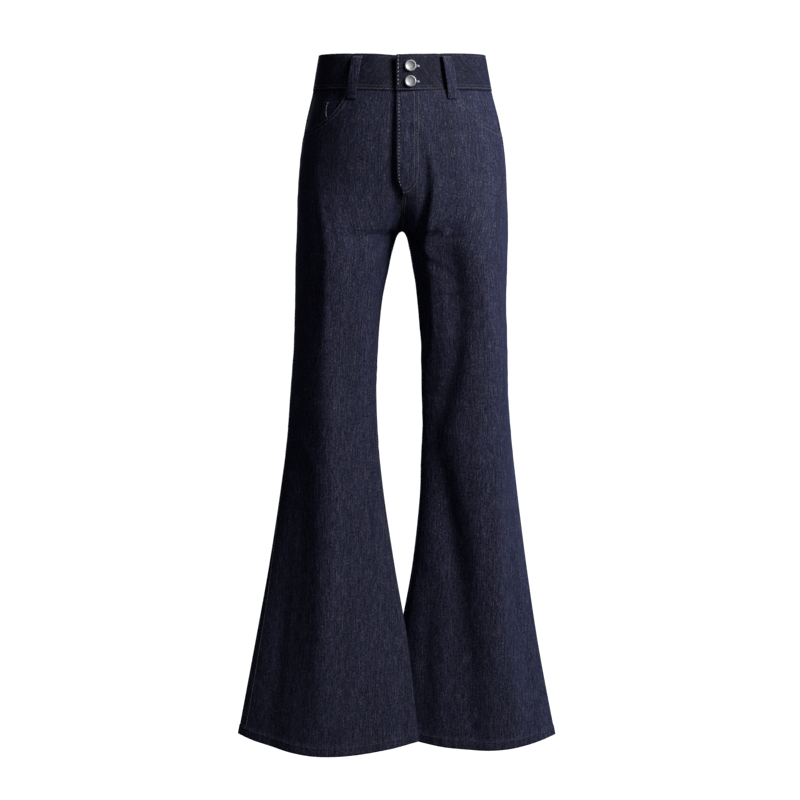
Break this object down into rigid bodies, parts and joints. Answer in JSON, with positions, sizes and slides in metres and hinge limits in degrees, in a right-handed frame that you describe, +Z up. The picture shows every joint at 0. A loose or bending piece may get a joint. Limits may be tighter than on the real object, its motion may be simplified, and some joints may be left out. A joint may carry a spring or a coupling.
{
  "type": "flared jeans",
  "caption": "High-waisted flared denim jeans in their hollow worn form, with a deep button waistband, scoop pockets, back yoke and patch pockets.",
  "frame": {"origin": "centre of the waist opening, level with the waistband's top edge at the side seams", "axes": "+Z up along the wearer's height, -Y to the wearer's front, +X to the wearer's left"},
  "size_m": [0.4897, 0.2272, 1.0498],
  "materials": {
    "denim": "dark indigo denim twill with a slubby vertical grain",
    "thread": "matt sewing thread, dark indigo with a few paler runs",
    "button_metal": "brushed silver-coloured shank button"
  },
  "bodies": {
    "root": {"front_right": "denim", "front_left": "denim", "back_right": "denim", "back_left": "denim", "yoke_right": "denim", "yoke_left": "denim", "pocket_facing_right": "denim", "pocket_facing_left": "denim", "coin_pocket": "denim", "back_pocket_right": "denim", "back_pocket_left": "denim", "waistband_front_right": "denim", "waistband_front_left": "denim", "waistband_back": "denim", "belt_loop_front_right": "denim", "belt_loop_front_left": "denim", "belt_loop_back_right": "denim", "belt_loop_back_left": "denim", "belt_loop_back_centre": "denim", "button_upper": "button_metal", "button_lower": "button_metal"}
  },
  "joints": []
}
